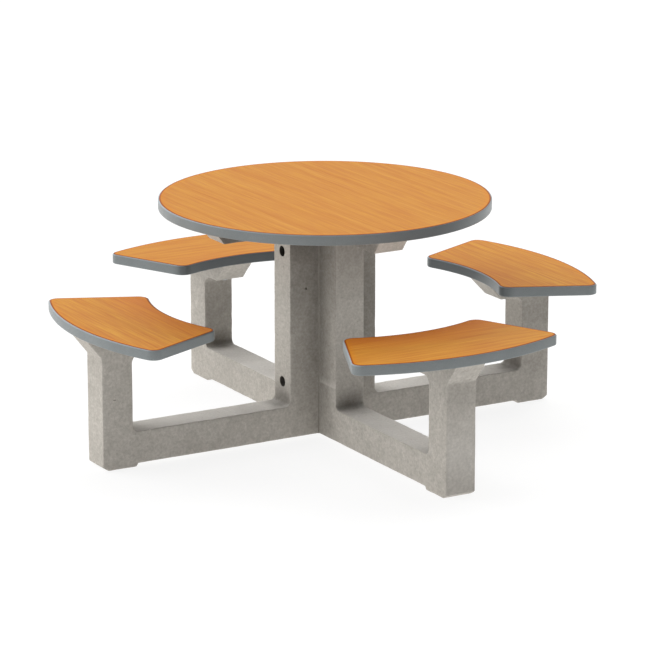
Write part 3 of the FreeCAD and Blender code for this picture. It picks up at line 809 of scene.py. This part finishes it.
def fine_grit(tree, place, clouds, speckle):
    """The fine texture with the given scales of its clouds and its speckle."""
    inputs = {"Vector": place, "Cloud Scale": clouds, "Speckle Scale": speckle}
    return placed(tree, fine_texture, inputs)


def surfaced(tree, shader, colour, roughness, height, distance, strength):
    """Gives the shader its colour, its roughness and a relief of the given height."""
    relief = {"Height": height, "Distance": distance, "Strength": strength}
    fill(tree, shader.inputs["Base Color"], colour)
    fill(tree, shader.inputs["Roughness"], roughness)
    fill(tree, shader.inputs["Normal"], add(tree, "Bump", relief).outputs["Normal"])


def concrete_finish():
    """Warm grey cast concrete: clouds, a pale dusty top that is partly painted light, speckle that
    thins on top, specks, pale worn arrises, and the castings' own marks: dirt with painted shade in
    the inner corners, painted shade on the sides and in the nut pockets, pale painted light
    patches, and a painted shadow edge with painted light just above it."""
    look, tree, shader, place = new_finish("cast_concrete", Specular_IOR_Level=0.25)
    grit = fine_grit(tree, place, 6.0, 125.0)
    mottle = fine_grit(tree, place, 46.0, 330.0)
    facing = add(tree, "NewGeometry").outputs["Normal"]
    rise = add(tree, "SeparateXYZ", {"Vector": facing}).outputs["Z"]
    upward = stretch(tree, rise, 0.5, 0.95)
    # Upward faces are painted paler: partly dust, partly painted light on the tops.
    dust_and_top_light = stretch(tree, noise(tree, place, 14.0, 3.0, 0.6), 0.3, 0.65, 0.82, 1.0)
    edge = {"Vector": place, "Edge": mark(tree, "arris"), "Amount": 0.2, "Scale": 45.0}
    # A painted shadow edge, with painted light just above it that fades upwards.
    above = mark(tree, "above_shadow_edge")
    light_above_edge = stretch(tree, above, 0.002, 0.022, 0.22, 0.0)
    # Dirt and painted shade together, mostly in the inner corners, broken up by a noise.
    ragged = stretch(tree, noise(tree, place, 30.0, 2.0, 0.5), 0.3, 0.7, 0.8, 1.15)
    soil_and_shade = times(tree, mark(tree, "soil_and_shade"), ragged)
    colour = layered(
        tree, CONCRETE, blend(tree, mottle["Clouds"], 0.6, grit["Clouds"], 0.4),
        ("dust_and_top_light", times(tree, upward, dust_and_top_light)),
        # Speckle thins on upward faces, which adds to their painted light.
        ("speckle", times(tree, grit["Speckle"], stretch(tree, upward, 0, 1, 0.43, 0.16))),
        ("fine speckle", times(tree, mottle["Speckle"], 0.1)),
        ("specks", times(tree, mottle["Specks"], 0.3)),
        ("worn", placed(tree, worn_edge, edge)["Wear"]),
        # Painted shade on the castings' sides, darkest in the pillar's corners and under the table.
        ("painted_shade", mark(tree, "painted_shade")),
        # Painted light: pale patches on the faces.
        ("painted_light", mark(tree, "painted_light_patches")),
        # Painted light just above the painted shadow edge.
        ("painted_light", times(tree, stretch(tree, above, -0.003, 0.002), light_above_edge)),
        # Dirt with painted shade in the inner corners, held to at most 0.85.
        ("soil_and_shade", math_node(tree, "MINIMUM", soil_and_shade, 0.85)),
        # Painted shade inside the nut pockets.
        ("painted_pocket_shade", mark(tree, "painted_pocket_shade")))
    height = math_node(tree, "MULTIPLY_ADD", mottle["Specks"], -0.8, grit["Speckle"])
    roughness = stretch(tree, grit["Speckle"], 0, 1, 0.82, 0.96)
    surfaced(tree, shader, colour, roughness, height, 0.0004, 0.5)
    return look


def laminate_finish(name, turn, shift, banding, contrast):
    """Orange wood-grain laminate with a richer margin, a darker line at its rim, and painted shade
    as a redder tint towards a seat's inner edge; turn lays the grain along Y instead of X, banding
    is the broad bands' share of the grain and contrast widens the grain's range of tone about its
    middle."""
    look, tree, shader, place = new_finish(name, Specular_IOR_Level=0.13)
    laid = add(tree, "Mapping", {"Vector": place, "Rotation": (0, 0, turn)}).outputs[0]
    grain = placed(tree, wood_grain, {"Vector": laid, "Shift": shift})
    tone = blend(tree, grain["Streaks"], 1 - banding, grain["Bands"], banding)
    edge = mark(tree, "from_edge")
    colour = layered(
        tree, WOOD, stretch(tree, tone, 0.5 - 0.5 / contrast, 0.5 + 0.5 / contrast),
        ("pores", times(tree, grain["Pores"], 0.25)),
        # Painted shade as a redder tint where the table shades a seat.
        ("shade_red", times(tree, mark(tree, "painted_shade_redness"), 0.5)),
        ("margin", stretch(tree, edge, 0.009, 0.026, 0.5, 0.0)),
        ("rim", stretch(tree, edge, 0.0062, 0.0100, 0.95, 0.0)))
    roughness = stretch(tree, grain["Streaks"], 0, 1, 0.52, 0.62)
    surfaced(tree, shader, colour, roughness, grain["Pores"], 0.00006, 0.4)
    return look


def band_finish():
    """Blue-grey moulded edge strip with a fine matt grain, a slow change of tone, painted shade on
    its shaded sides and a painted highlight on its upper round."""
    look, tree, shader, place = new_finish("edge_band", Specular_IOR_Level=0.4)
    grit = fine_grit(tree, place, 9.0, 420.0)
    colour = layered(
        tree, BAND, grit["Clouds"],
        ("speckle", times(tree, grit["Speckle"], 0.45)),
        # Painted shade on the bands' shaded sides.
        ("painted_band_shade", times(tree, mark(tree, "painted_band_shade"), 0.8)),
        # Painted highlight on the upper round.
        ("painted_crest_highlight", times(tree, mark(tree, "painted_crest_highlight"), 0.55)))
    roughness = stretch(tree, grit["Speckle"], 0, 1, 0.28, 0.40)
    surfaced(tree, shader, colour, roughness, grit["Speckle"], 0.00003, 0.4)
    return look


def metal_finish(name, pale, dull, roughness, stain, amount):
    """Metal with clouded tone and stains: zinc, brass or rusty bar by its colours."""
    look, tree, shader, place = new_finish(name, Metallic=1.0)
    grit = fine_grit(tree, place, 60.0, 700.0)
    spots = times(tree, stretch(tree, grit["Speckle"], 0.5, 1.0), amount)
    colours = {"dark": dull, "pale": pale, "stain": stain}
    colour = layered(tree, colours, grit["Clouds"], ("stain", spots))
    roughness = stretch(tree, grit["Clouds"], 0, 1, roughness + 0.12, roughness)
    fill(tree, shader.inputs["Metallic"], stretch(tree, spots, 0, 0.6, 1.0, 0.35))
    surfaced(tree, shader, colour, roughness, grit["Speckle"], 0.00005, 0.5)
    return look


def dull_finish(name, pale, dark, roughness, clouds, speckle, relief):
    """A matt finish of two tones with speckle: rubber, backer or panel core by its values."""
    look, tree, shader, place = new_finish(name, Specular_IOR_Level=0.3)
    grit = fine_grit(tree, place, clouds, speckle)
    tone = blend(tree, grit["Speckle"], 0.5, grit["Clouds"], 0.5)
    colour = layered(tree, {"dark": dark, "pale": pale}, tone)
    roughness = stretch(tree, grit["Speckle"], 0, 1, roughness, roughness + 0.12)
    surfaced(tree, shader, colour, roughness, grit["Speckle"], relief, 0.6)
    return look


concrete = concrete_finish()
laminates = {name: laminate_finish(name, *values) for name, values in {
    "table_laminate": (0.0, 0.0, 0.45, 1.1),
    "seat_laminate_x": (0.0, 3.7, 0.22, 1.1),
    "seat_laminate_y": (np.pi / 2, 8.2, 0.22, 1.1)}.items()}
band = band_finish()
finishes = {name: metal_finish(name, *values) for name, values in {
    "zinc_plated_steel": ((196, 199, 202), (160, 164, 169), 0.34, (120, 122, 124), 0.3),
    "brass_insert": ((214, 178, 104), (180, 144, 78), 0.3, (120, 92, 50), 0.3),
    "reinforcing_steel": ((128, 116, 108), (96, 84, 76), 0.5, (112, 62, 34), 0.75)}.items()}
finishes.update({name: dull_finish(name, *values) for name, values in {
    "joint_rubber": ((154, 149, 141), (128, 123, 115), 0.85, 30.0, 140.0, 0.0001),
    "panel_backer": ((74, 71, 68), (58, 56, 54), 0.6, 8.0, 420.0, 0.00005),
    "panel_core": ((190, 158, 118), (150, 116, 78), 0.85, 120.0, 380.0, 0.0003)}.items()})


# ---- pieces

def dress_panel(name, plan, top, quarters, middle, slot, painted_shade_redness=0.0):
    """The laminate sheet and the edge band of one panel, turned into place by quarter turns."""
    sheet = laminate_sheet(plan, top, quarters, middle, painted_shade_redness)
    sheet = put_mesh(name + "_laminate_sheet", *sheet)
    finish_piece(sheet, laminates[slot], [name + "_laminate"])
    strip = put_mesh(name + "_edge_strip", *edge_band(plan, top, quarters))
    finish_piece(strip, band, [name + "_edge_band"])


dress_panel("table", round_plan(), TABLE_TOP, 0, (0, 0), "table_laminate")
for seat, (quarters, painted_shade_redness) in SEATS.items():
    slot = "seat_laminate_x" if seat in ("front", "back") else "seat_laminate_y"
    dress_panel(seat + "_seat", seat_plan(), SEAT_TOP, quarters, (SEAT_MIDDLE, 0), slot, painted_shade_redness)


def dirt_painted_shade_and_light_marks(piece, spots, is_main):
    """Marks as values per point, for dirt, painted shade and painted light. A spot (r, z, reach,
    strength) fades as strength * exp(-(distance / reach)^2), with the distance across the casting
    counted at 0.55. The corner mark is dirt and painted shade together, gathered mostly in the
    inner corners; the pale mark is painted light as patches on the faces; both are kept off the
    casting's sides. The side mark is painted shade: round its own spots, on the main casting's
    front and on the others' right, and in the upright corners of the pillar, darker towards the
    table: (0.32 + 0.34 * height - 0.22 * height^2 + 0.18 * height^6) * fade from the pillar's
    outer edge, and two thirds of it near the ground. Under the table it spreads out along the
    heads' sides and ends just before their slopes. The pocket mark is painted shade inside the nut
    pockets: 1 in the upper ones and 0.9 in the lower ones. The last mark is the height above a
    painted shadow edge, which has painted light just above it, across the sides of the main
    casting's pillar, and 1 elsewhere."""
    place = read_points(piece.data)
    x, y, z = abs(place[:, 0]), abs(place[:, 1]), place[:, 2]
    along, across = np.maximum(x, y), np.minimum(x, y)
    r, w = place[:, :2].T if is_main else place[:, 1::-1].T
    on_side = across > SKIN

    def spread(kind, spot_w=0.0):
        """The strongest of the spots of one kind at each point."""
        total = np.zeros(len(place))
        for spot_r, spot_z, reach, strength in spots[kind]:
            away = np.sqrt((r - spot_r) ** 2 + (0.55 * (w - spot_w)) ** 2 + (z - spot_z) ** 2)
            total = np.maximum(total, strength * np.exp(-(away / reach) ** 2))
        return total

    face = np.clip((0.0500 - across) / 0.003, 0, 1)
    height = np.clip((z - ARM_TOP) / (TABLE_SHELF - ARM_TOP), 0, 1)
    inwards = np.clip((PILLAR_FACE + 0.03 - along) / 0.12, 0, 1)
    # Painted shade in the pillar's upright corners, darker towards the table.
    pillar = 0.32 + 0.34 * height - 0.22 * height ** 2 + 0.18 * height ** 6
    pillar = pillar * inwards * np.clip(0.65 + 2.2 * (z - 0.09), 0.65, 1)
    # Painted shade on the heads' sides under the table.
    head = 0.45 * np.clip((z - TABLE_SHELF + 0.05) / 0.05, 0, 1)
    head = head * np.clip((TABLE_HEAD_END - 0.012 - along) / 0.03, 0, 1)
    # Painted shade round the listed side spots.
    shade_patches = spread("painted_shade", -HALF_THICKNESS if is_main else HALF_THICKNESS)
    from_rod = np.min([np.hypot(x, z - h) for h in ROD_HEIGHTS], axis=0)
    in_pocket = (y > POCKET_FLOOR - 0.001) & (y < PILLAR_FACE - 0.001)
    in_pocket = in_pocket & (from_rod < POCKET_RADIUS + 0.001)
    on_pillar = is_main & on_side & (along < PILLAR_FACE + 0.001)
    add_marks(piece.data, {
        "soil_and_shade": spread("soil_and_shade") * face,
        "painted_light_patches": spread("painted_light_patches") * face,
        "painted_shade": np.maximum(np.maximum(pillar, head), shade_patches) * on_side,
        # Painted shade inside the nut pockets, a little less in the lower ones.
        "painted_pocket_shade": in_pocket * np.where(z < 0.4, 0.90, 1.0),
        "above_shadow_edge": np.where(on_pillar, z - SHADOW_EDGE_HEIGHT, 1.0)})


half_shape = half_casting(BUTT, True)
air_holes = [blowhole(*hole) for hole in AIR_HOLES]
castings = {
    "front": casting("front", half_shape, half_frame_tools(air_holes)),
    "back": casting("back", half_shape, half_frame_tools([])),
    "main": casting("main", both_halves(half_casting(0.0, False)), main_frame_tools()),
}
for name, piece in castings.items():
    dirt_painted_shade_and_light_marks(piece, DIRT_PAINTED_SHADE_AND_LIGHT[name], name == "main")
    finish_piece(piece, concrete, [name + "_frame"], CASTING_CREASE)

for joint, way in (("front", -1), ("back", 1)):
    bead = put_mesh(joint + "_joint_sealant", *joint_sealant(way))
    finish_piece(bead, finishes["joint_rubber"])

for height, node in zip(ROD_HEIGHTS, ("upper_tie_rod", "lower_tie_rod")):
    rod = put_mesh(node + "_thread", *threaded_rod(height))
    finish_piece(rod, finishes["zinc_plated_steel"], [node], ROD_CREASE)

for row in frame["record"]["subparts"]:
    if row["material_slot"] in finishes:
        materials = nodes[row["node"]].data.materials
        materials.clear()
        materials.append(finishes[row["material_slot"]])


# ---- floor, light and camera

scene = bpy.context.scene
scene.view_settings.view_transform = "Standard"


def seen_directly(tree):
    """1 for rays that show the backdrop itself: seen, in a reflection or through glass."""
    path = add(tree, "LightPath").outputs
    seen = math_node(tree, "MAXIMUM", path["Is Camera Ray"], path["Is Glossy Ray"])
    return math_node(tree, "MAXIMUM", seen, path["Is Transmission Ray"])


def studio_floor():
    """A pale floor that lights the object from below, almost white to the eye, with a light
    shadow."""
    h = FLOOR_HALF
    mesh = bpy.data.meshes.new("floor")
    mesh.from_pydata([(-h, -h, 0), (h, -h, 0), (h, h, 0), (-h, h, 0)], [], [(0, 1, 2, 3)])
    floor = bpy.data.objects.new("floor", mesh)
    scene.collection.objects.link(floor)
    look = bpy.data.materials.new("floor")
    look.use_nodes = True
    tree = look.node_tree
    tree.nodes.clear()
    paint = add(tree, "BsdfDiffuse", {"Color": (FLOOR_GREY, FLOOR_GREY, FLOOR_GREY, 1)})
    glow = add(tree, "Emission", {"Color": (1, 1, 1, 1), "Strength": FLOOR_GLOW})
    lit = add(tree, "AddShader", {0: paint.outputs[0], 1: glow.outputs[0]})
    white = add(tree, "Emission", {"Color": (1, 1, 1, 1), "Strength": FLOOR_WHITE})
    share = times(tree, seen_directly(tree), FLOOR_WHITE_SHARE)
    both = add(tree, "MixShader", {0: share, 1: lit.outputs[0], 2: white.outputs[0]})
    add(tree, "OutputMaterial", {"Surface": both.outputs[0]})
    mesh.materials.append(look)


def studio_light():
    """A pale surround, brighter towards the front left and high behind, and white where it is seen
    itself: strength = even + the sum of lobe * max(0, direction . towards) ^ narrow."""
    world = bpy.data.worlds.new("studio")
    scene.world = world
    world.use_nodes = True
    tree = world.node_tree
    surround = tree.nodes["Background"]
    direction = add(tree, "TexCoord").outputs["Generated"]
    strength = LIGHT_EVEN
    for towards, lobe in LIGHTS.values():
        both = {0: direction, 1: Vector(towards).normalized()}
        lean = add(tree, "VectorMath", both, operation="DOT_PRODUCT").outputs["Value"]
        narrow = math_node(tree, "POWER", math_node(tree, "MAXIMUM", lean, 0.0), LIGHT_NARROW)
        strength = math_node(tree, "MULTIPLY_ADD", narrow, lobe, strength)
    seen = seen_directly(tree)
    unseen = math_node(tree, "SUBTRACT", 1.0, seen)
    strength = math_node(tree, "MULTIPLY_ADD", strength, unseen, seen)
    fill(tree, surround.inputs["Color"], LIGHT_COLOUR)
    fill(tree, surround.inputs["Strength"], strength)


def studio_camera():
    """The camera fitted to the photo's edges: place, aim and lens for a 650 x 650 picture."""
    data = bpy.data.cameras.new("camera")
    data.sensor_width = CAMERA_SENSOR
    data.lens = CAMERA_LENS
    data.clip_end = CAMERA_REACH
    camera = bpy.data.objects.new("camera", data)
    camera.location = CAMERA_PLACE
    aim = Vector(CAMERA_AIM) - camera.location
    camera.rotation_euler = aim.to_track_quat("-Z", "Y").to_euler()
    scene.collection.objects.link(camera)
    scene.camera = camera


studio_floor()
studio_light()
studio_camera()
